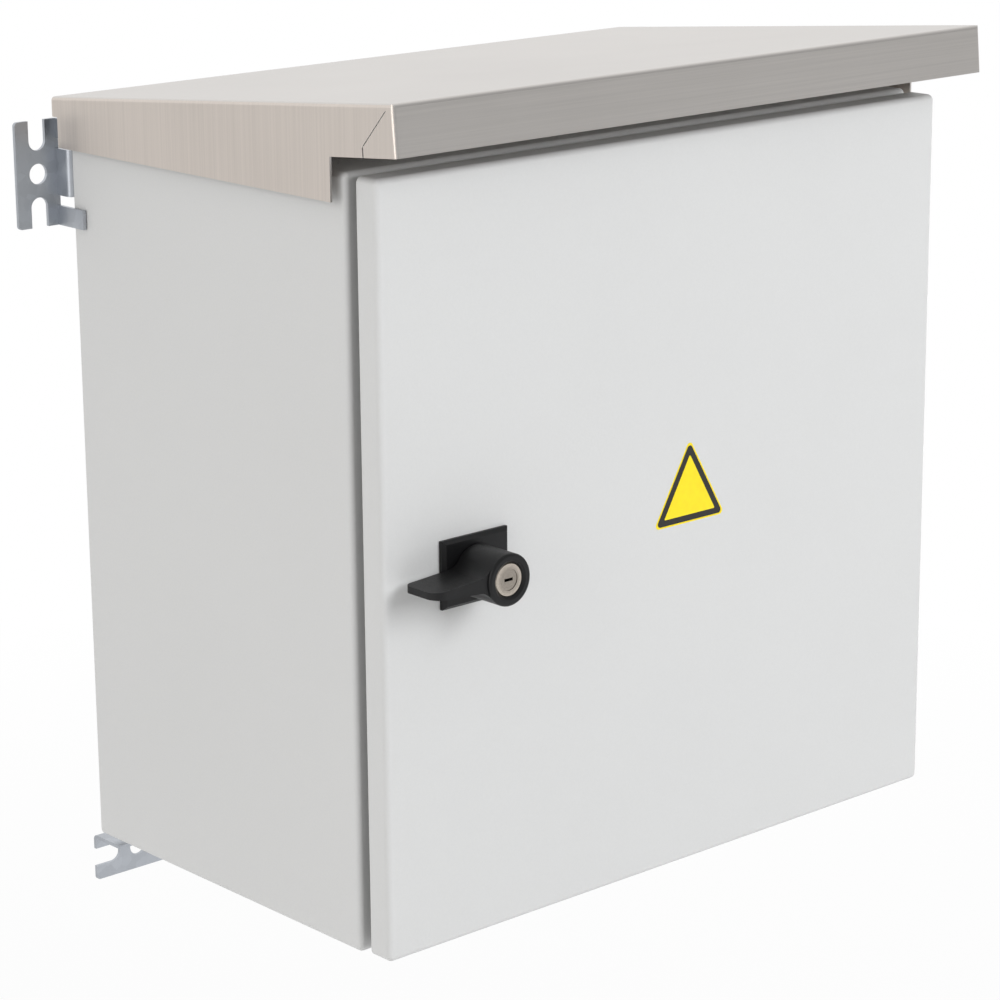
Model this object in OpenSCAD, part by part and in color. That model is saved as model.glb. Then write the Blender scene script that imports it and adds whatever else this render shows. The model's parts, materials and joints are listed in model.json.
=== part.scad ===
// Wall-hung steel utility cabinet with a sloped rain canopy, a hinged door and a key-locked wing handle.
// Axes: X to the right as seen from the front, Y into the wall, Z up.
// The wall is the plane y = 0, and the origin lies midway between the two upper wall holes.

/* [Body] */
// Width of the body
body_w = 400; // [300:10:700]
// Height of the body
body_h = 400; // [300:10:900]
// Depth of the body, without the door
body_d = 228; // [160:1:400]
// Sheet thickness of the body
body_sheet = 1.5; // [1:0.1:2]
// Outer radius of the body's folds
body_fold_r = 3; // [2.4:0.1:3.2]
// Corner radius of the body seen from the front
body_corner_r = 3.4; // [3.2:0.1:8]
// Width of the front frame around the door opening
frame_w = 18; // [16:0.5:24]
// Corner radius of the sealing lip
lip_corner_r = 10; // [8.5:0.5:14]

/* [Door] */
// Edge of the body left uncovered by the door, all round
door_inset = 1; // [0.5:0.1:3]
// Depth of the door tray
door_depth = 14.5; // [13:0.5:24]
// Gap between the door's rim and the front frame
door_gap = 7.5; // [7:0.1:12]
// Sheet thickness of the door
door_sheet = 1.5; // [1:0.1:2]
// Outer radius of the door's folds
door_fold_r = 3; // [2.4:0.1:3.1]
// Corner radius of the door seen from the front
door_corner_r = 3.4; // [3.2:0.1:12]
// Width of the foamed seal
gasket_w = 12; // [8:0.5:16]
// Thickness of the foamed seal
gasket_t = 6; // [4:0.5:8]

/* [Canopy] */
// Sheet thickness of the canopy
canopy_sheet = 1.2; // [0.8:0.1:2]
// Gap between the body's side and the canopy's side flange
canopy_side_gap = 5.8; // [4:0.1:12]
// Height of the canopy's rear edge above the body
canopy_rear_h = 12.8; // [11:0.1:30]
// Rise of the canopy from its rear edge to its front edge
canopy_rise = 25.4; // [18:0.1:50]
// Overhang of the canopy in front of the door
canopy_front = 23; // [10:0.1:60]
// Overhang of the canopy behind the body
canopy_rear = 7; // [2:0.1:8]
// Depth of the folded front lip
canopy_lip = 25.5; // [16:0.1:28]
// How far the side flanges reach below the body's top
canopy_skirt = 13.7; // [6:0.1:40]
// Outer radius of the canopy's folds
canopy_fold_r = 2; // [1.8:0.1:4]

/* [Wall brackets] */
// Distance from the wall to the back of the body
standoff = 14; // [13:0.5:30]
// Distance of the bracket bolts from the body's sides
bolt_inset_x = 32.5; // [32:0.5:50]
// Distance of the bracket bolts from the body's top and bottom
bolt_inset_z = 28; // [24:0.5:32]
// Sheet thickness of the brackets
bracket_sheet = 2; // [1.5:0.1:3]
// Width of the slotted plate, away from the body
plate_w = 27; // [25:0.5:40]
// Length of the slotted plate, along the body's edge
plate_l = 57; // [52:0.5:90]
// Diameter of the wall hole
wall_hole_d = 11; // [6:0.5:12]
// Width of the open slots
slot_w = 10.4; // [6:0.1:11]
// Depth of the open slots
slot_d = 16; // [10:0.5:18]

/* [Lock] */
// Distance of the lock axis from the body's left side
lock_inset = 57.5; // [55:0.5:90]
// Height of the door's middle above the lock axis
lock_drop = 2.6; // [0:0.1:20]
// Width of the lock's base plate
base_w = 43.5; // [36:0.5:60]
// Height of the lock's base plate
base_h = 35.5; // [34:0.5:50]
// Thickness of the lock's base plate
base_t = 3.5; // [2:0.1:6]
// Diameter of the handle's barrel
barrel_d = 27; // [24:0.5:32]
// Height of the barrel's front above the door
barrel_h = 30; // [26:0.5:40]
// Reach of the wing from the lock axis
wing_reach = 47; // [34:0.5:60]
// Thickness of the wing near the barrel
wing_root_t = 7; // [5:0.1:9]
// Thickness of the wing at its tip
wing_tip_t = 3.6; // [3:0.1:5]
// Diameter of the key cylinder
cylinder_d = 17.6; // [15:0.1:20]
// Gap between the turned latch cam and the body's side
cam_side_gap = 7; // [4:0.5:10]

/* [Hinges] */
// Length of one hinge
hinge_l = 60; // [40:1:100]
// Distance of each hinge's middle from the body's top or bottom
hinge_inset = 70; // [65:1:90]
// Outer diameter of the hinge knuckles
knuckle_d = 6.4; // [5.6:0.1:6.8]
// Diameter of the hinge pins
hinge_pin_d = 4; // [3:0.1:4.4]

/* [Inside] */
// Edge left free around the mounting plate
mount_plate_edge = 30; // [28:1:60]
// Thickness of the mounting plate
mount_plate_t = 2; // [1.5:0.1:3]
// Distance between the back panel and the mounting plate
spacer_l = 18; // [14:0.5:40]
// Width of the gland plate
gland_w = 250; // [120:5:260]
// Depth of the gland plate
gland_d = 120; // [80:5:120]
// Thickness of the gland plate
gland_t = 1.5; // [1:0.1:3]

/* [Hidden] */
$fn = 64;
hull_fn = 32;
overrun = 1;

// Paint and metal colours
grey_paint = [0.80, 0.80, 0.79];
white_paint = [0.87, 0.87, 0.88];
stainless = [0.72, 0.70, 0.68];
zinc = [0.66, 0.69, 0.72];
black_cast = [0.10, 0.10, 0.11];
nickel = [0.75, 0.73, 0.70];
foam = [0.16, 0.16, 0.17];
brass = [0.78, 0.62, 0.30];

// Planes that the pieces share
side_x = body_w / 2;
top_z = bolt_inset_z;
bottom_z = top_z - body_h;
mid_z = (top_z + bottom_z) / 2;
back_y = -standoff;
back_inner_y = back_y - body_sheet;
front_y = back_y - body_d;
frame_inner_y = front_y + body_sheet;
door_rear_y = front_y - door_gap;
door_front_y = door_rear_y - door_depth;
door_inner_y = door_front_y + door_sheet;
door_w = body_w - 2 * door_inset;
door_h = body_h - 2 * door_inset;
mid_y = (front_y + back_y) / 2;

// Sealing lip of the front frame, which meets the door's seal
seal_gap = 0.3;
lip_w = body_w - 2 * frame_w;
lip_h = body_h - 2 * frame_w;
lip_front_y = door_inner_y + gasket_t + seal_gap;

// Metric fasteners: thread radius, hexagon across its corners, head and washer
m8_r = 4;
m8_hex_r = 7.5;
m8_head = 5.3;
m8_nut = 6.5;
m8_washer_r = 8;
m8_washer = 1.6;
m6_r = 3;
m6_hex_r = 5.8;
m6_head = 4;
m6_nut = 5;
m6_washer_r = 6;
m6_washer = 1.2;
thread_gap = 0.05;
bolt_gap = 0.25;
bolt_end = 2;

// Fold line, ears and seat of a wall bracket, measured outwards from the wall hole
bracket_fold_r = 3;
bracket_edge_u = -plate_w / 2;
ear_gap = 0.5;
hole_reach = bolt_inset_x + ear_gap + plate_w / 2;
seat_strip_w = 25;
ear_w = 10.4;
ear_grip = 11;
plate_corner_r = 2;

// Canopy: slope, fold lines and skirt
canopy_half_w = side_x + canopy_side_gap + canopy_sheet;
canopy_rear_y = back_y + canopy_rear;
canopy_front_y = door_front_y - canopy_front;
canopy_rear_z = top_z + canopy_rear_h;
canopy_slope = atan2(canopy_rise, canopy_rear_y - canopy_front_y);
canopy_len = norm([canopy_rise, canopy_rear_y - canopy_front_y]);
skirt_z = top_z - canopy_skirt;
skirt_setback = 2.4;
skirt_front_y = front_y + skirt_setback;
skirt_rear_gap = 4.5;
skirt_rear_h = 16;
lip_end_y = canopy_front_y - canopy_lip * sin(canopy_slope);
lip_end_z = canopy_rear_z + canopy_rise - canopy_lip * cos(canopy_slope);
rear_flange = 10;
tab_l = 24;
tab_h = 5;
tab_apex_back = 5;
tab_apex_drop = 3.4;
tab_joint = 0.9;

// Supports that carry the canopy on the body's top
support_inset = 60;
support_x = side_x - support_inset;
support_sheet = 1.5;
support_flange = 22;
support_margin = 24;
weld_gap = 0.02;
support_rear_y = back_y - support_margin;
support_front_y = front_y + support_margin;
support_bolt_inset = 20;
support_bolt_ys = [support_rear_y - support_bolt_inset, support_front_y + support_bolt_inset];

// Lock: base, barrel, shaft and cam along the lock axis
lock_x = lock_inset - side_x;
lock_z = mid_z - lock_drop;
base_shift = 1.5;
base_bevel = 1.8;
collar_r = 12.8;
collar_h = 0.8;
turn_gap = 0.3;
handle_rear_y = door_front_y - base_t - collar_h - turn_gap;
handle_front_y = door_front_y - barrel_h;
barrel_edge_r = 1.4;
cylinder_bevel = 1.4;
wing_inset = 1.6;
wing_fillet_r = 11;
wing_front_r = 7;
wing_rear_r = 4;
bush_r = 11;
bush_l = 12;
shaft_r = 7;
shaft_gap = 0.08;
square_w = 8;
square_gap = 0.1;
lock_nut_r = 15.6;
lock_nut_h = 5;
cam_gap = 1;
cam_t = 3;
cam_w = 16;
cam_front_y = frame_inner_y + cam_gap;
cam_reach = lock_inset - body_sheet - cam_side_gap;
cylinder_l = 16;
cylinder_recess = 1.2;
cylinder_edge = 0.6;
fit_gap = 0.05;
plug_r = 5.5;
plug_recess = 0.3;
key_slot_l = 5.4;
key_slot_w = 1.5;
key_slot_d = 11;
cam_screw_r = 2.5;
cam_screw_l = 12;
cam_screw_head_r = 5;
cam_screw_head = 3.2;

// Hinges: the pin stands in the gap beside the door's rim
hinge_inset_x = 2.5;
hinge_x = side_x - hinge_inset_x;
hinge_y = front_y - door_gap / 2;
hinge_lower_z = bottom_z + hinge_inset;
hinge_upper_z = top_z - hinge_inset;
leaf_t = 2;
knuckle_gap = 0.3;
knuckle_share = 0.25;
knuckle_l = hinge_l * knuckle_share;
pin_gap = 0.06;
pin_head_r = 2.9;
pin_head_h = 1.6;
sweep_gap = 0.5;

// Inner fittings
mount_plate_w = body_w - 2 * mount_plate_edge;
mount_plate_h = body_h - 2 * mount_plate_edge;
mount_plate_corner_r = 6;
stud_inset = 20;
stud_x = mount_plate_w / 2 - stud_inset;
stud_dz = mount_plate_h / 2 - stud_inset;
mount_plate_y = back_inner_y - spacer_l;
spacer_r = 7;
stud_end = 4;
gland_rim = 15;
gland_corner_r = 8;
gland_gasket_t = 2;
gland_screw_r = 2.5;
gland_screw_head_r = 4.6;
gland_screw_head = 2.8;
gland_nut_r = 4.6;
gland_nut_h = 4;
earth_stud_l = 24;
earth_gap = 4;
lug_gap = 3;
earth_body_rise = 40;
earth_body_setback = 45;
earth_door_rise = 34;
earth_door_inset = 60;

// Extrudes a front-view outline (x, z) from y0 back to y1
module along_y(y0, y1) {
    translate([0, y1, 0]) rotate([90, 0, 0]) linear_extrude(y1 - y0) children();
}

// Extrudes a side-view outline (y, z) from x0 to x1
module along_x(x0, x1) {
    translate([x0, 0, 0]) rotate([90, 0, 90]) linear_extrude(x1 - x0) children();
}

// Extrudes a top-view outline (x, y) from z0 up to z1
module along_z(z0, z1) {
    translate([0, 0, z0]) linear_extrude(z1 - z0) children();
}

// A centred rectangle with round corners
module round_rect(w, h, r) {
    square([w - 2 * r, h], center = true);
    square([w, h - 2 * r], center = true);
    for (sx = [-1, 1], sy = [-1, 1]) translate([sx * (w / 2 - r), sy * (h / 2 - r)]) circle(r);
}

// What has to be cut from a square outer corner at the origin to round it, towards +x and +y
module corner_cut(r) {
    difference() {
        translate([-overrun, -overrun]) square(r + overrun);
        translate([r, r]) circle(r);
    }
}

// A folded box seen from the front: corner radius in the front view, fold radius on the front rim
module folded_block(w, h, y0, y1, corner_r, fold_r) {
    hull() for (sx = [-1, 1], sz = [-1, 1])
        translate([sx * (w / 2 - corner_r), 0, sz * (h / 2 - corner_r)]) {
            translate([0, y1, 0]) rotate([90, 0, 0])
                cylinder(r = corner_r, h = y1 - y0 - fold_r, $fn = hull_fn);
            translate([0, y0 + fold_r, 0]) rotate([90, 0, 0]) rotate_extrude($fn = hull_fn) intersection() {
                translate([corner_r - fold_r, 0]) circle(fold_r, $fn = hull_fn);
                translate([0, -fold_r]) square([corner_r, 2 * fold_r]);
            }
        }
}

// Hexagon head or nut on the Y axis
module hex_y(r, y0, y1) {
    along_y(y0, y1) circle(r, $fn = 6);
}

// Round bar on the Y axis
module rod_y(r, y0, y1) {
    along_y(y0, y1) circle(r);
}

// Places children at the four bracket bolts
module at_bracket_bolts() {
    for (sx = [-1, 1], z = [top_z - bolt_inset_z, bottom_z + bolt_inset_z])
        translate([sx * (side_x - bolt_inset_x), 0, z]) children();
}

// Places children at the four canopy bolts
module at_canopy_bolts() {
    for (sx = [-1, 1], y = support_bolt_ys)
        translate([sx * (support_x + support_flange / 2), y, 0]) children();
}

// Places children at the four corners of the mounting plate
module at_mounting_studs() {
    for (sx = [-1, 1], sz = [-1, 1]) translate([sx * stud_x, 0, mid_z + sz * stud_dz]) children();
}

// Places children at the six gland plate screws
module at_gland_screws() {
    for (sx = [-1, 0, 1], sy = [-1, 1])
        translate([sx * (gland_w - gland_rim) / 2, mid_y + sy * (gland_d - gland_rim) / 2, 0]) children();
}

// Outer form of the body, with its front edges folded round
module body_block() {
    translate([0, 0, mid_z]) folded_block(body_w, body_h, front_y, back_y, body_corner_r, body_fold_r);
}

// The front sheet of the body's outer form, from the front plane to the frame's inner face
module front_slab(gap) {
    translate([0, 0, mid_z]) along_y(front_y - overrun, frame_inner_y)
        square([body_w + gap, body_h + gap], center = true);
}

// Sheet body: four walls and the back panel
module cabinet_body() {
    color(grey_paint) difference() {
        body_block();
        front_slab(2 * overrun);
        translate([0, 0, mid_z]) along_y(front_y, back_inner_y)
            round_rect(body_w - 2 * body_sheet, body_h - 2 * body_sheet, body_corner_r - body_sheet);
        at_bracket_bolts() rod_y(m8_r + bolt_gap, back_inner_y - overrun, back_y + overrun);
        at_canopy_bolts() along_z(top_z - body_sheet - overrun, top_z + overrun) circle(m6_r + bolt_gap);
        along_z(bottom_z - overrun, bottom_z + body_sheet + overrun) translate([0, mid_y])
            round_rect(gland_w - 2 * gland_rim, gland_d - 2 * gland_rim, gland_corner_r);
        at_gland_screws() along_z(bottom_z - overrun, bottom_z + body_sheet + overrun)
            circle(gland_screw_r + bolt_gap);
    }
}

// Front frame welded into the walls, with the sealing lip turned forward round the door opening
module front_frame() {
    color(grey_paint) difference() {
        union() {
            intersection() {
                body_block();
                front_slab(2 * overrun);
            }
            translate([0, 0, mid_z]) along_y(lip_front_y, frame_inner_y) round_rect(lip_w, lip_h, lip_corner_r);
        }
        translate([0, 0, mid_z]) along_y(lip_front_y - overrun, frame_inner_y + overrun)
            round_rect(lip_w - 2 * body_sheet, lip_h - 2 * body_sheet, lip_corner_r - body_sheet);
    }
}

// Side view of the canopy's flanges, with the high front part over the door and the cut-back rear corner
module canopy_side_outline() {
    polygon([
        [canopy_rear_y, canopy_rear_z],
        [canopy_front_y, canopy_rear_z + canopy_rise],
        [lip_end_y, lip_end_z],
        [skirt_front_y, lip_end_z - (skirt_front_y - lip_end_y) * tan(canopy_slope)],
        [skirt_front_y, skirt_z],
        [canopy_rear_y - skirt_rear_gap, skirt_z],
        [canopy_rear_y - skirt_rear_gap, skirt_z + skirt_rear_h],
        [canopy_rear_y, skirt_z + skirt_rear_h]
    ]);
}

// Places children in the sloped frame of the canopy: y runs along the roof from its rear edge, z is square to it
module on_canopy_slope() {
    translate([0, canopy_rear_y, canopy_rear_z]) rotate([-canopy_slope, 0, 0]) children();
}

// Cross-section of the roof and its two side flanges, seen along the slope, with round folds
module canopy_section(depth) {
    difference() {
        translate([-canopy_half_w, -depth]) square([2 * canopy_half_w, depth]);
        for (sx = [-1, 1]) scale([sx, 1]) translate([canopy_half_w, 0]) rotate(180) corner_cut(canopy_fold_r);
        difference() {
            translate([-canopy_half_w + canopy_sheet, -depth - overrun])
                square([2 * (canopy_half_w - canopy_sheet), depth + overrun - canopy_sheet]);
            for (sx = [-1, 1]) scale([sx, 1]) translate([canopy_half_w - canopy_sheet, -canopy_sheet])
                rotate(180) corner_cut(canopy_fold_r - canopy_sheet);
        }
    }
}

// Open joint between a side flange and the corner tab that is folded back from the lip, in the sloped frame
module canopy_joint_outline() {
    polygon([
        [tab_l, -canopy_lip - overrun], [tab_l + tab_joint, -canopy_lip - overrun],
        [tab_l + tab_joint, tab_h - canopy_lip], [tab_apex_back + tab_joint, -tab_apex_drop],
        [tab_apex_back, -tab_apex_drop], [tab_l, tab_h - canopy_lip]
    ]);
}

// Folded stainless canopy: roof, side flanges, front lip with corner tabs, and a short rear flange
module rain_canopy() {
    skirt_depth = canopy_lip + canopy_rise + canopy_rear_h + canopy_skirt;
    color(stainless) difference() {
        union() {
            intersection() {
                on_canopy_slope() along_y(-canopy_len, skirt_depth) canopy_section(skirt_depth);
                along_x(-canopy_half_w - overrun, canopy_half_w + overrun) canopy_side_outline();
            }
            on_canopy_slope() translate([-canopy_half_w, -canopy_len, -canopy_lip])
                cube([2 * canopy_half_w, canopy_sheet, canopy_lip]);
            translate([canopy_sheet - canopy_half_w, canopy_rear_y - canopy_sheet, canopy_rear_z - rear_flange])
                cube([2 * (canopy_half_w - canopy_sheet), canopy_sheet, rear_flange - canopy_sheet]);
        }
        on_canopy_slope() {
            along_x(-canopy_half_w - overrun, canopy_half_w + overrun)
                translate([-canopy_len, 0]) rotate(-90) corner_cut(canopy_fold_r);
            for (sx = [-1, 1]) scale([sx, 1, 1]) {
                along_z(-canopy_lip - overrun, overrun)
                    translate([-canopy_half_w, -canopy_len]) corner_cut(canopy_fold_r);
                along_x(canopy_half_w - canopy_sheet - overrun, canopy_half_w + overrun)
                    translate([-canopy_len, 0]) canopy_joint_outline();
            }
        }
    }
}

// Height of the supports' top at depth y, just under the canopy
function support_top_z(y) =
    canopy_rear_z + (canopy_rear_y - y) * tan(canopy_slope) - canopy_sheet / cos(canopy_slope) - weld_gap;

// Folded wedge support between the body's top and the canopy, with a foot flange and a sloped top flange
module canopy_support(side) {
    slope_t = support_sheet / cos(canopy_slope);
    rear_top = support_top_z(support_rear_y);
    front_top = support_top_z(support_front_y);
    color(zinc) scale([side, 1, 1]) difference() {
        union() {
            along_x(support_x, support_x + support_sheet) polygon([
                [support_rear_y, top_z], [support_rear_y, rear_top],
                [support_front_y, front_top], [support_front_y, top_z]
            ]);
            along_x(support_x, support_x + support_flange) polygon([
                [support_rear_y, rear_top - slope_t], [support_rear_y, rear_top],
                [support_front_y, front_top], [support_front_y, front_top - slope_t]
            ]);
            translate([support_x, support_front_y, top_z])
                cube([support_flange, support_rear_y - support_front_y, support_sheet]);
        }
        for (y = support_bolt_ys) translate([support_x + support_flange / 2, y, 0])
            along_z(top_z - overrun, top_z + support_sheet + overrun) circle(m6_r + bolt_gap);
    }
}

// Bolts that hold the canopy supports on the body's top
module canopy_bolts() {
    head_z = top_z + support_sheet;
    end_z = top_z - body_sheet - m6_washer - m6_nut - bolt_end;
    color(zinc) at_canopy_bolts() {
        along_z(end_z, head_z + m6_washer) circle(m6_r);
        along_z(head_z, head_z + m6_washer) circle(m6_washer_r);
        along_z(head_z + m6_washer, head_z + m6_washer + m6_head) circle(m6_hex_r, $fn = 6);
    }
}

// Nuts and sealing washers of the canopy bolts, inside the body
module canopy_nuts() {
    under_z = top_z - body_sheet;
    color(zinc) at_canopy_bolts() difference() {
        union() {
            along_z(under_z - m6_washer, under_z) circle(m6_washer_r);
            along_z(under_z - m6_washer - m6_nut, under_z - m6_washer) circle(m6_hex_r, $fn = 6);
        }
        along_z(under_z - m6_washer - m6_nut - overrun, under_z + overrun) circle(m6_r + thread_gap);
    }
}

// Slotted plate of a wall bracket, seen from the front, with the wall hole at its middle
module bracket_plate_outline() {
    slot_mid = plate_l / 2 - slot_d + slot_w / 2;
    difference() {
        round_rect(plate_w, plate_l, plate_corner_r);
        circle(wall_hole_d / 2);
        for (s = [-1, 1]) scale([1, s]) {
            translate([0, slot_mid]) circle(slot_w / 2);
            translate([-slot_w / 2, slot_mid]) square([slot_w, slot_d]);
        }
    }
}

// Ear of a wall bracket that grips the body's side, seen from above
module bracket_ear_outline() {
    difference() {
        translate([bracket_edge_u, -standoff - ear_grip]) square([bracket_sheet, standoff + ear_grip]);
        translate([bracket_edge_u, 0]) rotate(-90) corner_cut(bracket_fold_r);
    }
}

// Step that joins the slotted plate to the seat behind the back panel, seen from above
module bracket_step_outline() {
    inner_r = bracket_fold_r - bracket_sheet;
    difference() {
        union() {
            translate([bracket_edge_u, -standoff]) square([bracket_sheet, standoff]);
            translate([bracket_edge_u - bracket_fold_r, -standoff]) square([bracket_fold_r, bracket_sheet + inner_r]);
        }
        translate([bracket_edge_u - inner_r, bracket_sheet + inner_r - standoff]) circle(inner_r);
        translate([bracket_edge_u - bracket_fold_r - overrun, bracket_sheet - standoff])
            square([bracket_fold_r + overrun - inner_r, inner_r + overrun]);
        translate([bracket_edge_u, 0]) rotate(-90) corner_cut(bracket_fold_r);
        translate([bracket_edge_u + bracket_sheet, -standoff]) rotate(90) corner_cut(bracket_fold_r);
    }
}

// Folded wall bracket: x runs outwards from the body's edge, z along that edge
module wall_bracket() {
    color(zinc) difference() {
        union() {
            difference() {
                along_y(-bracket_sheet, 0) bracket_plate_outline();
                along_z(-plate_l / 2 - overrun, plate_l / 2 + overrun)
                    translate([bracket_edge_u, 0]) rotate(-90) corner_cut(bracket_fold_r);
            }
            along_z(-seat_strip_w / 2, seat_strip_w / 2) bracket_step_outline();
            for (s = [-1, 1]) scale([1, 1, s])
                along_z(plate_l / 2 - ear_w, plate_l / 2) bracket_ear_outline();
            along_y(-standoff, -standoff + bracket_sheet) {
                translate([-hole_reach, 0]) circle(seat_strip_w / 2);
                translate([-hole_reach, -seat_strip_w / 2])
                    square([hole_reach + bracket_edge_u - bracket_fold_r + overrun, seat_strip_w]);
            }
        }
        translate([-hole_reach, 0, 0])
            rod_y(m8_r + bolt_gap, -standoff - overrun, -standoff + bracket_sheet + overrun);
    }
}

// Upper bracket, reaching sideways
module bracket_upper(side) {
    scale([side, 1, 1]) translate([side_x - bolt_inset_x + hole_reach, 0, top_z - bolt_inset_z]) wall_bracket();
}

// Lower bracket, the same piece turned to reach downwards
module bracket_lower(side) {
    scale([side, 1, 1]) translate([side_x - bolt_inset_x, 0, bottom_z + bolt_inset_z - hole_reach])
        rotate([0, 90, 0]) wall_bracket();
}

// Flange bolts of the four wall brackets
module bracket_bolts() {
    head_y = back_y + bracket_sheet;
    color(zinc) at_bracket_bolts() {
        rod_y(m8_r, back_inner_y - m8_washer - m8_nut - bolt_end, head_y + m8_washer);
        rod_y(m8_washer_r, head_y, head_y + m8_washer);
        hex_y(m8_hex_r, head_y + m8_washer, head_y + m8_washer + m8_head);
    }
}

// Nuts and sealing washers of the bracket bolts, inside the body
module bracket_nuts() {
    color(zinc) at_bracket_bolts() nut_y(back_inner_y);
}

// M8 nut with its washer on the Y axis, seated on the face at y
module nut_y(y) {
    difference() {
        union() {
            rod_y(m8_washer_r, y - m8_washer, y);
            hex_y(m8_hex_r, y - m8_washer - m8_nut, y - m8_washer);
        }
        rod_y(m8_r + thread_gap, y - m8_washer - m8_nut - overrun, y + overrun);
    }
}

// Galvanised plate that carries the equipment
module mounting_plate() {
    color(zinc) difference() {
        translate([0, 0, mid_z]) along_y(mount_plate_y - mount_plate_t, mount_plate_y)
            round_rect(mount_plate_w, mount_plate_h, mount_plate_corner_r);
        at_mounting_studs() rod_y(m8_r + bolt_gap, mount_plate_y - mount_plate_t - overrun, mount_plate_y + overrun);
    }
}

// Studs welded to the back panel
module mounting_studs() {
    end_y = mount_plate_y - mount_plate_t - m8_washer - m8_nut - stud_end;
    color(zinc) at_mounting_studs() rod_y(m8_r, end_y, back_inner_y);
}

// Tubes that hold the mounting plate off the back panel
module mounting_spacers() {
    color(zinc) at_mounting_studs() difference() {
        rod_y(spacer_r, mount_plate_y, back_inner_y);
        rod_y(m8_r + bolt_gap, mount_plate_y - overrun, back_inner_y + overrun);
    }
}

// Nuts and washers of the mounting plate
module mounting_nuts() {
    color(zinc) at_mounting_studs() nut_y(mount_plate_y - mount_plate_t);
}

// Blank gland plate under the body
module gland_plate() {
    plate_z = bottom_z - gland_gasket_t - gland_t;
    color(grey_paint) difference() {
        along_z(plate_z, plate_z + gland_t) translate([0, mid_y]) round_rect(gland_w, gland_d, gland_corner_r);
        at_gland_screws() along_z(plate_z - overrun, plate_z + gland_t + overrun) circle(gland_screw_r + bolt_gap);
    }
}

// Rubber frame between the gland plate and the body
module gland_gasket() {
    color(foam) difference() {
        along_z(bottom_z - gland_gasket_t, bottom_z) translate([0, mid_y]) difference() {
            round_rect(gland_w, gland_d, gland_corner_r);
            round_rect(gland_w - 2 * gland_rim, gland_d - 2 * gland_rim, gland_corner_r);
        }
        at_gland_screws() along_z(bottom_z - gland_gasket_t - overrun, bottom_z + overrun)
            circle(gland_screw_r + bolt_gap);
    }
}

// Screws of the gland plate, with their heads below
module gland_screws() {
    plate_z = bottom_z - gland_gasket_t - gland_t;
    color(zinc) at_gland_screws() {
        along_z(plate_z - gland_screw_head, plate_z) circle(gland_screw_head_r);
        along_z(plate_z - gland_screw_head, bottom_z + body_sheet + gland_nut_h + bolt_end) circle(gland_screw_r);
    }
}

// Nuts of the gland plate screws, inside the body
module gland_nuts() {
    nut_z = bottom_z + body_sheet;
    color(zinc) at_gland_screws() along_z(nut_z, nut_z + gland_nut_h) difference() {
        circle(gland_nut_r, $fn = 6);
        circle(gland_screw_r + thread_gap);
    }
}

// Earth stud on the Y axis, from the face at y
module earth_stud_y(y) {
    color(brass) rod_y(m6_r, y, y + earth_stud_l);
}

// Pair of nuts on an earth stud that starts at y
module earth_nuts_y(y) {
    color(brass) for (k = [0, 1]) let (nut_y0 = y + earth_gap + k * (m6_nut + m6_washer + lug_gap))
        difference() {
            union() {
                rod_y(m6_washer_r, nut_y0, nut_y0 + m6_washer);
                hex_y(m6_hex_r, nut_y0 + m6_washer, nut_y0 + m6_washer + m6_nut);
            }
            rod_y(m6_r + thread_gap, nut_y0 - overrun, nut_y0 + m6_washer + m6_nut + overrun);
        }
}

// Places children on the inner face of the body's left side, with the stud's axis pointing inwards
module at_body_earth() {
    translate([body_sheet - side_x, front_y + earth_body_setback, bottom_z + earth_body_rise])
        rotate([0, 0, -90]) children();
}

// Places children on the inner face of the door, near the hinges
module at_door_earth() {
    translate([side_x - earth_door_inset, 0, bottom_z + earth_door_rise + frame_w]) children();
}

// Frame leaf of a hinge: it stands on the front frame and holds the two outer knuckles
module hinge_frame_leaf(z) {
    leaf_x = side_x - frame_w + body_sheet;
    color(grey_paint) translate([0, 0, z]) difference() {
        union() {
            translate([leaf_x, front_y - leaf_t, -hinge_l / 2]) cube([hinge_x - leaf_x, leaf_t, hinge_l]);
            for (z0 = [-hinge_l / 2, hinge_l / 2 - knuckle_l])
                translate([hinge_x, hinge_y, z0]) cylinder(d = knuckle_d, h = knuckle_l);
        }
        translate([hinge_x, hinge_y, -hinge_l / 2 + knuckle_l])
            cylinder(r = knuckle_d / 2 + sweep_gap, h = hinge_l - 2 * knuckle_l);
        translate([hinge_x, hinge_y, -hinge_l / 2 - overrun])
            cylinder(r = hinge_pin_d / 2 + pin_gap, h = hinge_l + 2 * overrun);
    }
}

// Door leaf of a hinge: it lies on the inside of the door's rim and holds the middle knuckle
module hinge_door_leaf(z) {
    rim_x = side_x - door_inset - door_sheet;
    middle_l = hinge_l - 2 * knuckle_l - 2 * knuckle_gap;
    color(white_paint) translate([0, 0, z]) difference() {
        union() {
            translate([rim_x - leaf_t, door_inner_y + door_fold_r, -hinge_l / 2])
                cube([leaf_t, door_rear_y - door_inner_y - door_fold_r, hinge_l]);
            translate([rim_x - leaf_t, door_rear_y, -middle_l / 2]) cube([leaf_t, hinge_y - door_rear_y, middle_l]);
            translate([hinge_x, hinge_y, -middle_l / 2]) cylinder(d = knuckle_d, h = middle_l);
        }
        translate([hinge_x, hinge_y, -middle_l / 2 - overrun])
            cylinder(r = hinge_pin_d / 2 + pin_gap, h = middle_l + 2 * overrun);
    }
}

// Headed hinge pin
module hinge_pin(z) {
    color(zinc) translate([hinge_x, hinge_y, z]) {
        translate([0, 0, -hinge_l / 2]) cylinder(d = hinge_pin_d, h = hinge_l);
        translate([0, 0, hinge_l / 2]) cylinder(r = pin_head_r, h = pin_head_h);
    }
}

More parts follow.
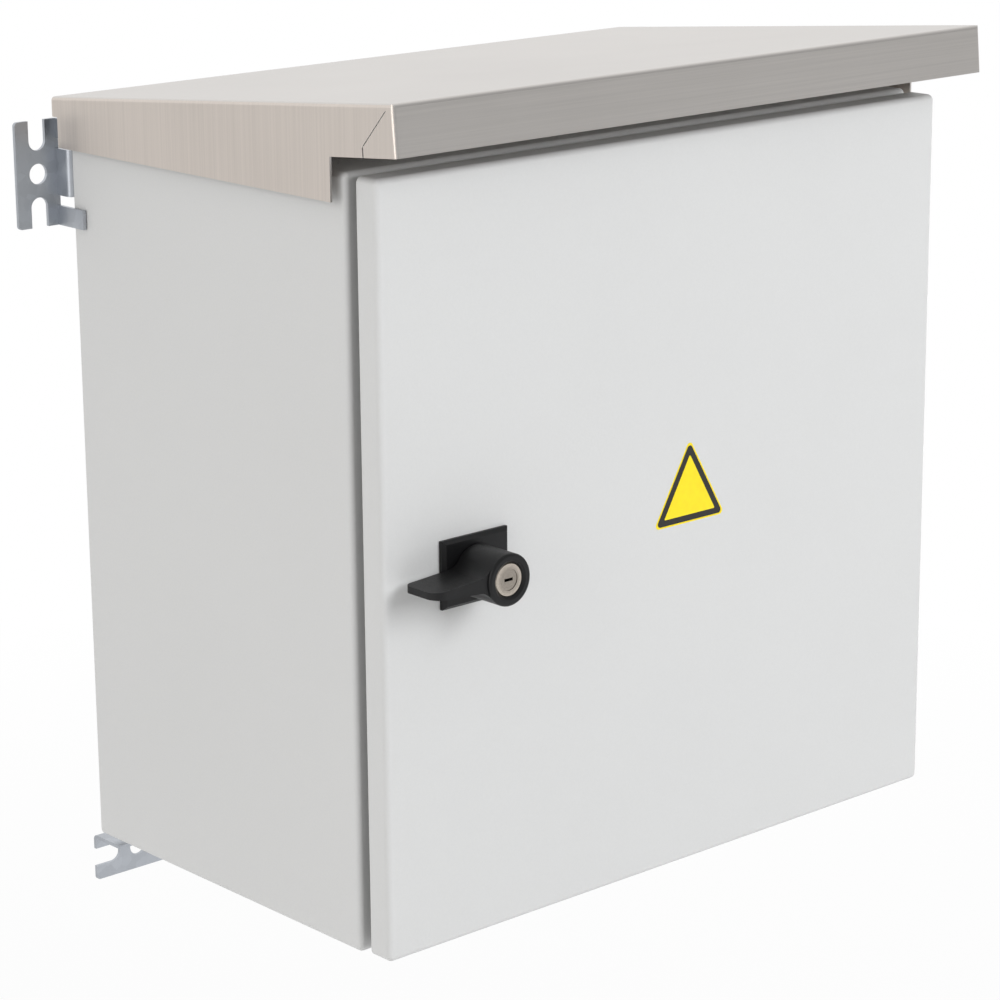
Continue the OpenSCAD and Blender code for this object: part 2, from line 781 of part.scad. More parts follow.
// Door tray, folded from one sheet
module door_panel() {
    color(white_paint) difference() {
        translate([0, 0, mid_z])
            folded_block(door_w, door_h, door_front_y, door_rear_y, door_corner_r, door_fold_r);
        translate([0, 0, mid_z])
            folded_block(door_w - 2 * door_sheet, door_h - 2 * door_sheet, door_inner_y, door_rear_y + overrun,
                door_corner_r - door_sheet, door_fold_r - door_sheet);
        translate([lock_x, 0, lock_z]) rod_y(bush_r + fit_gap, door_front_y - overrun, door_inner_y + overrun);
    }
}

// Foamed seal on the door's inside, opposite the sealing lip
module door_gasket() {
    ring_w = lip_w - body_sheet;
    ring_h = lip_h - body_sheet;
    color(foam) translate([0, 0, mid_z]) along_y(door_inner_y, door_inner_y + gasket_t) difference() {
        round_rect(ring_w + gasket_w, ring_h + gasket_w, lip_corner_r + gasket_w / 2);
        round_rect(ring_w - gasket_w, ring_h - gasket_w, lip_corner_r - gasket_w / 2);
    }
}

// Places children on the lock axis
module on_lock_axis() {
    translate([lock_x, 0, lock_z]) children();
}

// Section of the base plate across a width w, with both front edges bevelled
module base_section(w) {
    polygon([
        [-w / 2, 0], [-w / 2, base_bevel - base_t], [base_bevel - w / 2, -base_t],
        [w / 2 - base_bevel, -base_t], [w / 2, base_bevel - base_t], [w / 2, 0]
    ]);
}

// Base plate of the lock, with its collar and the bush that passes through the door
module lock_base() {
    color(black_cast) on_lock_axis() difference() {
        union() {
            translate([base_shift, door_front_y, 0]) intersection() {
                along_z(-base_h / 2, base_h / 2) base_section(base_w);
                along_x(-base_w / 2, base_w / 2) rotate(90) scale([1, -1]) base_section(base_h);
            }
            rod_y(collar_r, door_front_y - base_t - collar_h, door_front_y);
            rod_y(bush_r, door_front_y, door_inner_y + bush_l);
        }
        rod_y(shaft_r + shaft_gap, door_front_y - base_t - collar_h - overrun, door_inner_y + bush_l + overrun);
    }
}

// Nut that clamps the lock to the door from behind
module lock_nut() {
    color(zinc) on_lock_axis() difference() {
        hex_y(lock_nut_r, door_inner_y, door_inner_y + lock_nut_h);
        rod_y(bush_r + fit_gap, door_inner_y - overrun, door_inner_y + lock_nut_h + overrun);
    }
}

// Cross-section of the wing, tapered to its tip, with concave fillets into the barrel
module wing_outline() {
    root_z = wing_root_t / 2;
    fillet_z = root_z + wing_fillet_r;
    fillet_x = sqrt(pow(barrel_d / 2 + wing_fillet_r, 2) - pow(fillet_z, 2));
    polygon([
        [0, -root_z], [0, root_z], [-fillet_x, root_z],
        [-wing_reach, wing_tip_t / 2], [-wing_reach, -wing_tip_t / 2], [-fillet_x, -root_z]
    ]);
    for (s = [-1, 1]) scale([1, s]) difference() {
        polygon([[0, 0], [-fillet_x, fillet_z], [-fillet_x, 0]]);
        translate([-fillet_x, fillet_z]) circle(wing_fillet_r);
    }
}

// Wing handle: barrel with a rounded front, and a flat wing that reaches to the left
module wing_handle() {
    barrel_r = barrel_d / 2;
    wing_front_y = handle_front_y + wing_inset;
    color(black_cast) on_lock_axis() difference() {
        union() {
            rod_y(barrel_r, handle_front_y + barrel_edge_r, handle_rear_y);
            rod_y(barrel_r - barrel_edge_r, handle_front_y, handle_rear_y);
            translate([0, handle_front_y + barrel_edge_r, 0]) rotate([90, 0, 0])
                rotate_extrude() translate([barrel_r - barrel_edge_r, 0]) circle(barrel_edge_r);
            intersection() {
                along_y(wing_front_y, handle_rear_y) wing_outline();
                along_z(-barrel_d, barrel_d) difference() {
                    translate([-wing_reach, wing_front_y]) square([wing_reach, handle_rear_y - wing_front_y]);
                    translate([-wing_reach, wing_front_y]) corner_cut(wing_front_r);
                    translate([-wing_reach, handle_rear_y]) rotate(-90) corner_cut(wing_rear_r);
                }
            }
        }
        rod_y(cylinder_d / 2 + fit_gap, handle_front_y - overrun, handle_front_y + cylinder_l);
        translate([0, handle_front_y, 0]) rotate([-90, 0, 0])
            cylinder(r1 = cylinder_d / 2 + cylinder_bevel, r2 = cylinder_d / 2, h = cylinder_bevel);
    }
}

// Round shaft behind the handle, with a square end for the cam and a tapped hole for its screw
module lock_shaft() {
    color(zinc) on_lock_axis() difference() {
        union() {
            rod_y(shaft_r, handle_rear_y, cam_front_y);
            along_y(cam_front_y, cam_front_y + cam_t) square(square_w, center = true);
        }
        rod_y(cam_screw_r + thread_gap, cam_front_y + cam_t - cam_screw_l, cam_front_y + cam_t + overrun);
    }
}

// Latch cam, which points up while the wing points left
module latch_cam() {
    color(zinc) on_lock_axis() along_y(cam_front_y, cam_front_y + cam_t) difference() {
        union() {
            circle(cam_w / 2);
            translate([-cam_w / 2, 0]) square([cam_w, cam_reach - cam_w / 2]);
            translate([0, cam_reach - cam_w / 2]) circle(cam_w / 2);
        }
        square(square_w + 2 * square_gap, center = true);
    }
}

// Screw with a broad head that holds the cam on the shaft
module cam_screw() {
    seat_y = cam_front_y + cam_t;
    color(zinc) on_lock_axis() {
        rod_y(cam_screw_r, seat_y - cam_screw_l, seat_y);
        rod_y(cam_screw_head_r, seat_y, seat_y + cam_screw_head);
    }
}

// Nickel-plated key cylinder in the front of the barrel
module key_cylinder() {
    face_y = handle_front_y + cylinder_recess;
    color(nickel) on_lock_axis() difference() {
        union() {
            rod_y(cylinder_d / 2, face_y + cylinder_edge, handle_front_y + cylinder_l);
            translate([0, face_y + cylinder_edge, 0]) rotate([90, 0, 0])
                cylinder(r1 = cylinder_d / 2, r2 = cylinder_d / 2 - cylinder_edge, h = cylinder_edge);
        }
        rod_y(plug_r + fit_gap, face_y - overrun, handle_front_y + cylinder_l + overrun);
    }
}

// Plug that turns with the key
module key_plug() {
    face_y = handle_front_y + cylinder_recess + plug_recess;
    color(nickel) on_lock_axis() difference() {
        rod_y(plug_r, face_y, handle_front_y + cylinder_l - turn_gap);
        along_y(face_y - overrun, face_y + key_slot_d) square([key_slot_l, key_slot_w], center = true);
    }
}

cabinet_body();
front_frame();
rain_canopy();
canopy_support(-1);  // canopy_support_left
canopy_support(1);  // canopy_support_right
canopy_bolts();
canopy_nuts();
bracket_upper(-1);  // bracket_upper_left
bracket_upper(1);  // bracket_upper_right
bracket_lower(-1);  // bracket_lower_left
bracket_lower(1);  // bracket_lower_right
bracket_bolts();
bracket_nuts();
mounting_plate();
mounting_studs();
mounting_spacers();
mounting_nuts();
gland_plate();
gland_gasket();
gland_screws();
gland_nuts();
at_body_earth() earth_stud_y(0);  // earth_stud_body
at_body_earth() earth_nuts_y(0);  // earth_nuts_body
hinge_frame_leaf(hinge_lower_z);  // hinge_frame_leaf_lower
hinge_frame_leaf(hinge_upper_z);  // hinge_frame_leaf_upper
hinge_pin(hinge_lower_z);  // hinge_pin_lower
hinge_pin(hinge_upper_z);  // hinge_pin_upper
hinge_door_leaf(hinge_lower_z);  // hinge_door_leaf_lower
hinge_door_leaf(hinge_upper_z);  // hinge_door_leaf_upper
door_panel();
door_gasket();
at_door_earth() earth_stud_y(door_inner_y);  // earth_stud_door
at_door_earth() earth_nuts_y(door_inner_y);  // earth_nuts_door
lock_base();
lock_nut();
wing_handle();
lock_shaft();
latch_cam();
cam_screw();
key_cylinder();
key_plug();
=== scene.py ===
"""Looks of the wall-hung utility cabinet: finishes, the sign on the door, studio light and camera."""

import json
import math

import bmesh
import bpy
from mathutils import Matrix, Vector

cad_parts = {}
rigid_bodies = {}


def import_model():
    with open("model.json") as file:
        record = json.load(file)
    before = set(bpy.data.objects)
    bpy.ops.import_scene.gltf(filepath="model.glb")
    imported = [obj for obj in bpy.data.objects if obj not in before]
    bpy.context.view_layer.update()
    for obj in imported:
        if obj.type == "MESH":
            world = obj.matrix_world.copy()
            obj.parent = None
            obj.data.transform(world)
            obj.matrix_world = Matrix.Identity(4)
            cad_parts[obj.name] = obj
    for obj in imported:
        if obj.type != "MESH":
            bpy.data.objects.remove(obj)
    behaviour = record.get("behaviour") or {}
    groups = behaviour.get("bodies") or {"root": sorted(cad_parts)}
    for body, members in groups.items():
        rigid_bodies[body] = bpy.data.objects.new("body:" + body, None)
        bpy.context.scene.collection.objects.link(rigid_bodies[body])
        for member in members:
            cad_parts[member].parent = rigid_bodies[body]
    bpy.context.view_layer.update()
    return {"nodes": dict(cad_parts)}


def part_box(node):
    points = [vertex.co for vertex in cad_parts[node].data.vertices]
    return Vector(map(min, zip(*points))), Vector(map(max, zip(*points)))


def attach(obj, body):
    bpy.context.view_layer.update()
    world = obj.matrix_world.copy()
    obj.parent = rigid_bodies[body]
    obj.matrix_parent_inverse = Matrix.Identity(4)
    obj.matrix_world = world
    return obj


MM = 0.001

# Sign on the door: a yellow triangle with a dark border, in mm
SIGN_SIDE = 52.4
SIGN_CORNER_R = 2.2
SIGN_BORDER = 3.4
SIGN_RIM = 0.9
SIGN_THICKNESS = 0.12
SIGN_X = 11
SIGN_BASE_Z = -180.5
SIGN_SINK = 0.02

# Finishes: display colours from 0 to 255, roughness and spangles per m
PAINT_COLOUR = (214, 214, 213)
ROOF_COLOUR = (215, 211, 207)
# The flanges' warmer colour is a painted tint for the light on the canopy's sides, not a different metal
FLANGE_COLOUR_WITH_PAINTED_TINT = (217, 208, 200)
STAINLESS_ROUGH = 0.36
ZINC_COLOUR = (184, 188, 194)
ZINC_ROUGH = 0.34
ZINC_SPANGLE = 160.0
PLASTIC_COLOUR = (19, 19, 20)
PLASTIC_ROUGH = 0.42
NICKEL_COLOUR = (186, 177, 166)
NICKEL_ROUGH = 0.22
FOAM_COLOUR = (45, 45, 46)
BRASS_COLOUR = (214, 182, 112)
BRASS_ROUGH = 0.3
BRASS_SPANGLE = 300.0
SIGN_YELLOW = (252, 226, 12)
SIGN_DARK = (26, 24, 22)

# Key cylinder: darker inside the first radius, and from the second out brightened by a painted highlight, in mm
LOCK_DARK_MIDDLE_R = 5.0
LOCK_HIGHLIGHT_RIM_R = 8.4

# Lamps: place, target and size in m, power in W
KEY_PLACE = (1.0, -2.8, 1.1)
KEY_TARGET = (0, -0.26, -0.17)
KEY_SIZE = 1.6
KEY_POWER = 57
KEY_COLOUR = (0.965, 0.98, 1.0)
FILL_PLACE = (-3.0, -0.6, 0.6)
FILL_TARGET = (-0.2, -0.13, -0.17)
FILL_SIZE = 2.0
FILL_POWER = 25
FILL_COLOUR = (1.0, 0.99, 0.975)

# Camera, in the part's frame: focal length in mm on a 36 mm sensor, angles in radians
CAMERA_POS = (-1163.2, -1439.2, 287.0)
CAMERA_YAW = 0.7248
CAMERA_PITCH = 0.2676
CAMERA_ROLL = -0.0085
CAMERA_LENS = 117.33
CAMERA_SENSOR = 36

# Stage: brightness of the studio in front of the cabinet and behind it, how much of the white backdrop metal
# mirrors, and the floor, in m
STUDIO_FRONT = 0.24
STUDIO_BACK = 1.03
MIRROR_FROM = -0.3
MIRROR_TO = 0.5
MIRROR_FRONT = 0.12
FLOOR_Z = -0.9
FLOOR_SIZE = 80
FLOOR_COLOUR = (0.8, 0.8, 0.8, 1)
FLOOR_NEAR = 0.9
FLOOR_FAR = 2.2
FLOOR_GLOW = 0.9
FLOOR_SHEEN_FRONT = 0.42
FLOOR_SHEEN_BACK = 0.5


class Graph:
    """A material's node tree with short calls: inputs are values or other nodes' outputs."""

    def __init__(self, name):
        self.material = bpy.data.materials.new(name)
        self.material.use_nodes = True
        self.tree = self.material.node_tree
        self.tree.nodes.clear()
        self.coords = self.add("ShaderNodeTexCoord").outputs["Object"]

    def add(self, kind, inputs=(), **settings):
        node = self.tree.nodes.new(kind)
        for key, value in settings.items():
            setattr(node, key, value)
        for key, value in dict(inputs).items():
            if isinstance(value, bpy.types.NodeSocket):
                self.tree.links.new(value, node.inputs[key])
            else:
                node.inputs[key].default_value = value
        return node

    def noise(self, scale, detail=2.0, vector=None, roughness=0.5):
        inputs = {"Vector": vector or self.coords, "Scale": scale, "Detail": detail, "Roughness": roughness}
        return self.add("ShaderNodeTexNoise", inputs).outputs["Fac"]

    def stretched(self, factors):
        inputs = {"Vector": self.coords, "Scale": factors}
        return self.add("ShaderNodeMapping", inputs, vector_type="POINT").outputs["Vector"]

    def span(self, value, low, high, from_low=0.3, from_high=0.7):
        inputs = {"Value": value, "From Min": from_low, "From Max": from_high, "To Min": low, "To Max": high}
        return self.add("ShaderNodeMapRange", inputs).outputs["Result"]

    def scaled(self, value, factor):
        return self.add("ShaderNodeMath", {0: value, 1: factor}, operation="MULTIPLY").outputs[0]

    def mix(self, factor, first, second):
        node = self.add("ShaderNodeMix", data_type="RGBA")
        for socket, value in ((node.inputs[0], factor), (node.inputs[6], first), (node.inputs[7], second)):
            if isinstance(value, bpy.types.NodeSocket):
                self.tree.links.new(value, socket)
            else:
                socket.default_value = value
        return node.outputs[2]

    def bump(self, height, strength, distance):
        inputs = {"Height": height, "Strength": strength, "Distance": distance}
        return self.add("ShaderNodeBump", inputs).outputs["Normal"]

    def finish(self, inputs):
        shader = self.add("ShaderNodeBsdfPrincipled", inputs)
        out = self.add("ShaderNodeOutputMaterial")
        self.tree.links.new(shader.outputs["BSDF"], out.inputs["Surface"])
        return self.material


def linear(r, g, b):
    """A colour given in 0 to 255 display values, as a linear RGBA."""
    def channel(v):
        v /= 255
        return v / 12.92 if v <= 0.04045 else ((v + 0.055) / 1.055) ** 2.4
    return (channel(r), channel(g), channel(b), 1.0)


def tone(colour, factor):
    return (colour[0] * factor, colour[1] * factor, colour[2] * factor, 1.0)


def powder_coat(name, colour):
    """Fine orange-peel powder coat with a faint cloudiness."""
    g = Graph(name)
    cloud = g.noise(7.0, 3.0)
    grain = g.noise(900.0, 2.0)
    peel = g.noise(420.0, 1.0)
    shade = g.mix(g.span(cloud, 0.0, 1.0), tone(colour, 0.985), tone(colour, 1.015))
    speck = g.mix(g.span(grain, 0.0, 1.0, 0.2, 0.8), tone(colour, 0.97), tone(colour, 1.02))
    base = g.mix(0.5, shade, speck)
    height = g.add("ShaderNodeMath", {0: grain, 1: peel}, operation="ADD").outputs[0]
    return g.finish({
        "Base Color": base,
        "Roughness": g.span(peel, 0.40, 0.50),
        "Normal": g.bump(height, 0.10, 0.4 * MM),
        "Specular IOR Level": 0.45,
    })


def brushed(name, roof_colour, side_colour_with_painted_tint, rough):
    """Brushed stainless: the grain runs across the roof and the lip, and down the side flanges, which also get a
    warmer colour as a painted tint for the light that falls on the sides.
    """
    g = Graph(name)
    across = g.noise(1.0, 4.0, g.stretched((6.0, 900.0, 900.0)), 0.6)
    down = g.noise(1.0, 4.0, g.stretched((900.0, 900.0, 6.0)), 0.6)
    normal = g.add("ShaderNodeNewGeometry").outputs["Normal"]
    facing = g.add("ShaderNodeSeparateXYZ", {"Vector": normal}).outputs["X"]
    sideways = g.add("ShaderNodeMath", {0: facing}, operation="ABSOLUTE").outputs[0]
    side = g.add("ShaderNodeMath", {0: sideways, 1: 0.7}, operation="GREATER_THAN").outputs[0]
    streak = g.add("ShaderNodeMix", data_type="FLOAT")
    g.tree.links.new(side, streak.inputs[0])
    g.tree.links.new(across, streak.inputs[2])
    g.tree.links.new(down, streak.inputs[3])
    grain = streak.outputs[0]
    # Painted light: faces turned sideways get the warmer flange colour, standing in for the light that falls on the
    # sides
    colour = g.mix(side, roof_colour, side_colour_with_painted_tint)
    streaks = g.span(grain, 0.93, 1.03)
    clouds = g.span(g.noise(9.0, 2.0), 0.97, 1.02)
    level = g.add("ShaderNodeMath", {0: streaks, 1: clouds}, operation="MULTIPLY").outputs[0]
    return g.finish({
        "Base Color": g.add("ShaderNodeVectorMath", {0: colour, 1: level}, operation="MULTIPLY").outputs[0],
        "Metallic": 1.0,
        "Roughness": g.span(grain, rough - 0.05, rough + 0.06),
        "Normal": g.bump(grain, 0.12, 0.10 * MM),
    })


def plated(name, colour, rough, spangle):
    """Plated metal with soft spangles and fine rolling marks."""
    g = Graph(name)
    cells = g.add("ShaderNodeTexVoronoi", {"Vector": g.coords, "Scale": spangle}).outputs["Color"]
    cell = g.add("ShaderNodeSeparateColor", {"Color": cells}).outputs["Red"]
    fine = g.noise(1500.0, 2.0)
    tint = g.mix(g.span(cell, 0.0, 1.0, 0.0, 1.0), tone(colour, 0.94), tone(colour, 1.05))
    return g.finish({
        "Base Color": tint,
        "Metallic": 1.0,
        "Roughness": g.span(fine, rough - 0.05, rough + 0.07),
        "Normal": g.bump(fine, 0.08, 0.10 * MM),
    })


def turned(name, colour, rough, centre):
    """Turned and plated metal: rings round an axis along y, darker in the middle and brightened towards the rim by a
    painted highlight.
    """
    g = Graph(name)
    from_axis = g.add("ShaderNodeVectorMath", {0: g.coords, 1: centre}, operation="SUBTRACT").outputs[0]
    flat = g.add("ShaderNodeVectorMath", {0: from_axis, 1: (1, 0, 1)}, operation="MULTIPLY").outputs[0]
    radius = g.add("ShaderNodeVectorMath", {0: flat}, operation="LENGTH").outputs["Value"]
    rings = g.noise(1.0, 2.0, g.add("ShaderNodeCombineXYZ", {"X": g.scaled(radius, 2600.0)}).outputs[0])
    spots = g.noise(900.0, 3.0)
    # Painted highlight: the plate's colour gets brighter towards the rim and darker in the middle, standing in for
    # the rim's glint
    rim_highlight = g.span(radius, 0.0, 1.0, LOCK_DARK_MIDDLE_R * MM, LOCK_HIGHLIGHT_RIM_R * MM)
    dark_middle_and_rim_highlight = g.mix(rim_highlight, tone(colour, 0.68), tone(colour, 1.14))
    factors = {0: g.span(rings, 0.90, 1.06), 1: g.span(spots, 0.88, 1.06)}
    level = g.add("ShaderNodeMath", factors, operation="MULTIPLY").outputs[0]
    return g.finish({
        "Base Color": g.add("ShaderNodeVectorMath", {0: dark_middle_and_rim_highlight, 1: level}, operation="MULTIPLY").outputs[0],
        "Metallic": 1.0,
        "Roughness": g.span(rings, rough - 0.05, rough + 0.08),
        "Normal": g.bump(rings, 0.12, 0.10 * MM),
    })


def moulded(name, colour, rough):
    """Moulded black plastic with a fine spark grain."""
    g = Graph(name)
    grain = g.noise(1600.0, 3.0)
    wide = g.noise(60.0, 2.0)
    return g.finish({
        "Base Color": g.mix(g.span(wide, 0.0, 1.0), tone(colour, 0.85), tone(colour, 1.2)),
        "Roughness": g.span(grain, rough - 0.06, rough + 0.08),
        "Normal": g.bump(grain, 0.30, 0.15 * MM),
        "Specular IOR Level": 0.32,
    })


def foamed(name, colour):
    """Soft foamed rubber with open pores."""
    g = Graph(name)
    pores = g.noise(700.0, 4.0)
    return g.finish({
        "Base Color": g.mix(g.span(pores, 0.0, 1.0), tone(colour, 0.7), tone(colour, 1.3)),
        "Roughness": 0.85,
        "Normal": g.bump(pores, 0.5, 0.3 * MM),
    })


def printed(name, colour):
    """Printed vinyl film."""
    g = Graph(name)
    film = g.noise(300.0, 2.0)
    return g.finish({
        "Base Color": g.mix(g.span(film, 0.0, 1.0), tone(colour, 0.97), tone(colour, 1.03)),
        "Roughness": g.span(film, 0.30, 0.38),
        "Normal": g.bump(film, 0.05, 0.1 * MM),
    })


def paint_nodes(nodes):
    """Gives every CAD node its finish."""
    low, high = (Vector(corner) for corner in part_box("key_cylinder"))
    lock_axis = (low + high) / 2
    finishes = {
        "paint": powder_coat("grey_powder_coat", linear(*PAINT_COLOUR)),
        "stainless": brushed("brushed_stainless", linear(*ROOF_COLOUR), linear(*FLANGE_COLOUR_WITH_PAINTED_TINT), STAINLESS_ROUGH),
        "zinc": plated("zinc_plate", linear(*ZINC_COLOUR), ZINC_ROUGH, ZINC_SPANGLE),
        "plastic": moulded("black_plastic", linear(*PLASTIC_COLOUR), PLASTIC_ROUGH),
        "nickel": turned("nickel_plate", linear(*NICKEL_COLOUR), NICKEL_ROUGH, lock_axis),
        "foam": foamed("black_foam", linear(*FOAM_COLOUR)),
        "brass": plated("brass", linear(*BRASS_COLOUR), BRASS_ROUGH, BRASS_SPANGLE),
    }
    chosen = {
        "paint": ("cabinet_body", "front_frame", "door_panel", "gland_plate", "hinge_frame_leaf", "hinge_door_leaf"),
        "stainless": ("rain_canopy",),
        "plastic": ("lock_base", "wing_handle"),
        "nickel": ("key_",),
        "foam": ("door_gasket", "gland_gasket"),
        "brass": ("earth_",),
    }
    for name, obj in nodes.items():
        kind = next((k for k, starts in chosen.items() if name.startswith(starts)), "zinc")
        obj.data.materials.clear()
        obj.data.materials.append(finishes[kind])


def rounded_triangle(side, corner_r, steps=8):
    """Outline of an equilateral triangle with its base on z = 0, corners rounded by arcs."""
    height = side * math.sqrt(3) / 2
    corners = (Vector((-side / 2, 0)), Vector((side / 2, 0)), Vector((0, height)))
    middle = Vector((0, height / 3))
    outline = []
    for corner, heading in zip(corners, (210, 330, 90)):
        inward = (middle - corner).normalized()
        centre = corner + inward * corner_r * 2
        for k in range(steps + 1):
            angle = math.radians(heading - 60 + 120 * k / steps)
            outline.append(centre + Vector((math.cos(angle), math.sin(angle))) * corner_r)
    return outline


def add_film(name, outline, front_y, back_y, material):
    """A thin flat print: the outline lies in the door's plane."""
    bm = bmesh.new()
    front = [bm.verts.new((p.x * MM, front_y, p.y * MM)) for p in outline]
    back = [bm.verts.new((p.x * MM, back_y, p.y * MM)) for p in outline]
    bm.faces.new(front)
    bm.faces.new(list(reversed(back)))
    count = len(outline)
    for k in range(count):
        bm.faces.new((front[k], back[k], back[(k + 1) % count], front[(k + 1) % count]))
    bmesh.ops.recalc_face_normals(bm, faces=bm.faces)
    mesh = bpy.data.meshes.new(name)
    bm.to_mesh(mesh)
    bm.free()
    mesh.materials.append(material)
    obj = bpy.data.objects.new(name, mesh)
    bpy.context.scene.collection.objects.link(obj)
    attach(obj, "door")


def add_sign():
    """Plain sign on the door: yellow rim, dark border and yellow field, each film on the one below."""
    door_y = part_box("door_panel")[0][1]
    yellow = printed("yellow_film", linear(*SIGN_YELLOW))
    dark = printed("dark_film", linear(*SIGN_DARK))
    layers = (
        ("sign_rim", 0.0, yellow),
        ("sign_border", SIGN_RIM, dark),
        ("sign_field", SIGN_RIM + SIGN_BORDER, yellow),
    )
    back_y = door_y + SIGN_SINK * MM
    for name, inset, material in layers:
        front_y = back_y - SIGN_THICKNESS * MM
        side = SIGN_SIDE - inset * 2 * math.sqrt(3)
        corner_r = max(SIGN_CORNER_R - inset * 0.4, 0.5)
        outline = [Vector((p.x + SIGN_X, p.y + SIGN_BASE_Z + inset)) for p in rounded_triangle(side, corner_r)]
        add_film(name, outline, front_y, back_y, material)
        back_y = front_y + SIGN_SINK * MM


def add_camera():
    yaw, pitch, roll = CAMERA_YAW, CAMERA_PITCH, CAMERA_ROLL
    forward = Vector((math.sin(yaw) * math.cos(pitch), math.cos(yaw) * math.cos(pitch), -math.sin(pitch)))
    level = Vector((math.cos(yaw), -math.sin(yaw), 0))
    upright = level.cross(forward)
    right = level * math.cos(roll) + upright * math.sin(roll)
    up = upright * math.cos(roll) - level * math.sin(roll)
    data = bpy.data.cameras.new("camera")
    data.lens, data.sensor_width = CAMERA_LENS, CAMERA_SENSOR
    data.clip_start, data.clip_end = 0.05, 200
    camera = bpy.data.objects.new("camera", data)
    rotation = Matrix((right, up, -forward)).transposed().to_4x4()
    camera.matrix_world = Matrix.Translation(Vector(CAMERA_POS) * MM) @ rotation
    bpy.context.scene.collection.objects.link(camera)
    bpy.context.scene.camera = camera


def add_area(name, place, target, size, power, colour, mirrored):
    """A square lamp; mirrored says whether metal mirrors it."""
    data = bpy.data.lights.new(name, "AREA")
    data.shape, data.size, data.size_y = "RECTANGLE", size, size
    data.energy, data.color = power, colour
    lamp = bpy.data.objects.new(name, data)
    lamp.location = place
    lamp.visible_glossy = mirrored
    lamp.rotation_euler = (Vector(target) - Vector(place)).to_track_quat("-Z", "Y").to_euler()
    bpy.context.scene.collection.objects.link(lamp)


def add_light():
    """Soft studio light: a key in front, high on the right, and a fill on the left."""
    add_area("key", KEY_PLACE, KEY_TARGET, KEY_SIZE, KEY_POWER, KEY_COLOUR, mirrored=False)
    add_area("fill", FILL_PLACE, FILL_TARGET, FILL_SIZE, FILL_POWER, FILL_COLOUR, mirrored=True)


def seen_as_backdrop(tree, share):
    """A factor that is 1 for camera rays, and as large as share for rays mirrored by metal or let through glass."""
    rays = tree.nodes.new("ShaderNodeLightPath").outputs
    mirrored = tree.nodes.new("ShaderNodeMath")
    mirrored.operation = "MAXIMUM"
    tree.links.new(rays["Is Glossy Ray"], mirrored.inputs[0])
    tree.links.new(rays["Is Transmission Ray"], mirrored.inputs[1])
    shared = tree.nodes.new("ShaderNodeMath")
    shared.operation = "MULTIPLY"
    tree.links.new(mirrored.outputs[0], shared.inputs[0])
    tree.links.new(share, shared.inputs[1])
    either = tree.nodes.new("ShaderNodeMath")
    either.operation = "MAXIMUM"
    tree.links.new(rays["Is Camera Ray"], either.inputs[0])
    tree.links.new(shared.outputs[0], either.inputs[1])
    return either.outputs[0]


def map_range(tree, value, from_low, from_high, to_low, to_high):
    node = tree.nodes.new("ShaderNodeMapRange")
    tree.links.new(value, node.inputs["Value"])
    for key, number in (("From Min", from_low), ("From Max", from_high), ("To Min", to_low), ("To Max", to_high)):
        node.inputs[key].default_value = number
    return node.outputs["Result"]


def add_world():
    """White backdrop behind the cabinet, and for the light a studio that is darker in front."""
    world = bpy.data.worlds.new("studio")
    bpy.context.scene.world = world
    world.use_nodes = True
    tree = world.node_tree
    tree.nodes.clear()
    link = tree.links.new
    coords = tree.nodes.new("ShaderNodeTexCoord")
    split = tree.nodes.new("ShaderNodeSeparateXYZ")
    link(coords.outputs["Generated"], split.inputs["Vector"])
    depth = split.outputs["Y"]
    studio = tree.nodes.new("ShaderNodeBackground")
    link(map_range(tree, depth, -1, 1, STUDIO_FRONT, STUDIO_BACK), studio.inputs["Strength"])
    white = tree.nodes.new("ShaderNodeBackground")
    for background in (studio, white):
        background.inputs["Color"].default_value = (1, 1, 1, 1)
    pick = tree.nodes.new("ShaderNodeMixShader")
    share = map_range(tree, depth, MIRROR_FROM, MIRROR_TO, MIRROR_FRONT, 1)
    link(seen_as_backdrop(tree, share), pick.inputs[0])
    link(studio.outputs[0], pick.inputs[1])
    link(white.outputs[0], pick.inputs[2])
    out = tree.nodes.new("ShaderNodeOutputWorld")
    link(pick.outputs[0], out.inputs["Surface"])


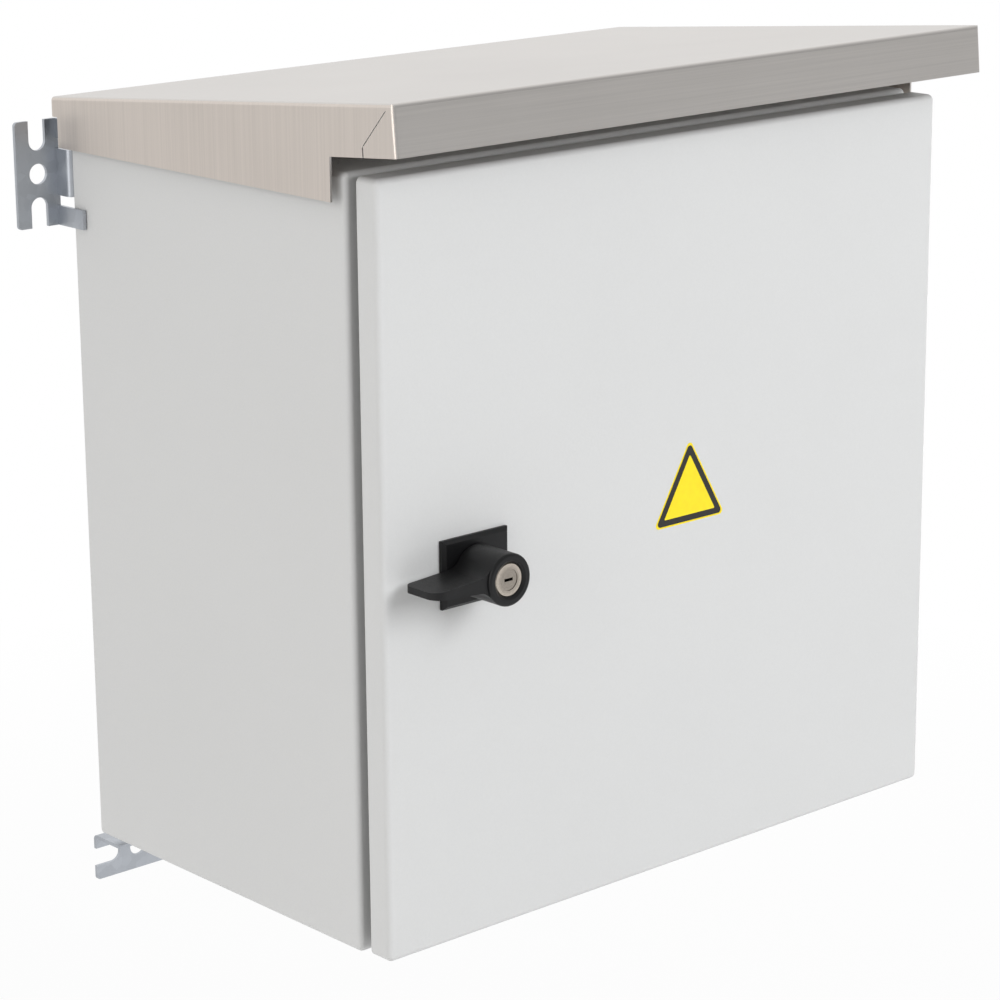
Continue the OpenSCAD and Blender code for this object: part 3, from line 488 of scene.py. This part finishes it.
def add_floor():
    """Pale floor below the hanging cabinet, which keeps its soft shadow and melts into the backdrop."""
    mesh = bpy.data.meshes.new("floor")
    half = FLOOR_SIZE / 2
    corners = [(-half, -half, FLOOR_Z), (half, -half, FLOOR_Z), (half, half, FLOOR_Z), (-half, half, FLOOR_Z)]
    mesh.from_pydata(corners, [], [(0, 1, 2, 3)])
    material = bpy.data.materials.new("pale_floor")
    material.use_nodes = True
    tree = material.node_tree
    tree.nodes.clear()
    link = tree.links.new
    matt = tree.nodes.new("ShaderNodeBsdfDiffuse")
    matt.inputs["Color"].default_value = FLOOR_COLOUR
    glow = tree.nodes.new("ShaderNodeEmission")
    coords = tree.nodes.new("ShaderNodeTexCoord")
    reach = tree.nodes.new("ShaderNodeVectorMath")
    reach.operation = "LENGTH"
    link(coords.outputs["Object"], reach.inputs[0])
    far = map_range(tree, reach.outputs["Value"], FLOOR_NEAR, FLOOR_FAR, FLOOR_GLOW, 1)
    split = tree.nodes.new("ShaderNodeSeparateXYZ")
    link(coords.outputs["Object"], split.inputs["Vector"])
    behind = map_range(tree, split.outputs["Y"], -1, 1, FLOOR_SHEEN_FRONT, FLOOR_SHEEN_BACK)
    lit = tree.nodes.new("ShaderNodeMath")
    lit.operation = "MULTIPLY"
    link(far, lit.inputs[0])
    link(seen_as_backdrop(tree, behind), lit.inputs[1])
    pick = tree.nodes.new("ShaderNodeMixShader")
    out = tree.nodes.new("ShaderNodeOutputMaterial")
    link(lit.outputs[0], pick.inputs[0])
    link(matt.outputs[0], pick.inputs[1])
    link(glow.outputs[0], pick.inputs[2])
    link(pick.outputs[0], out.inputs["Surface"])
    mesh.materials.append(material)
    floor = bpy.data.objects.new("floor", mesh)
    bpy.context.scene.collection.objects.link(floor)


def main():
    for obj in list(bpy.data.objects):
        bpy.data.objects.remove(obj)
    bpy.context.scene.view_settings.view_transform = "Standard"
    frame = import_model()
    paint_nodes(frame["nodes"])
    add_sign()
    add_floor()
    add_world()
    add_light()
    add_camera()


main()
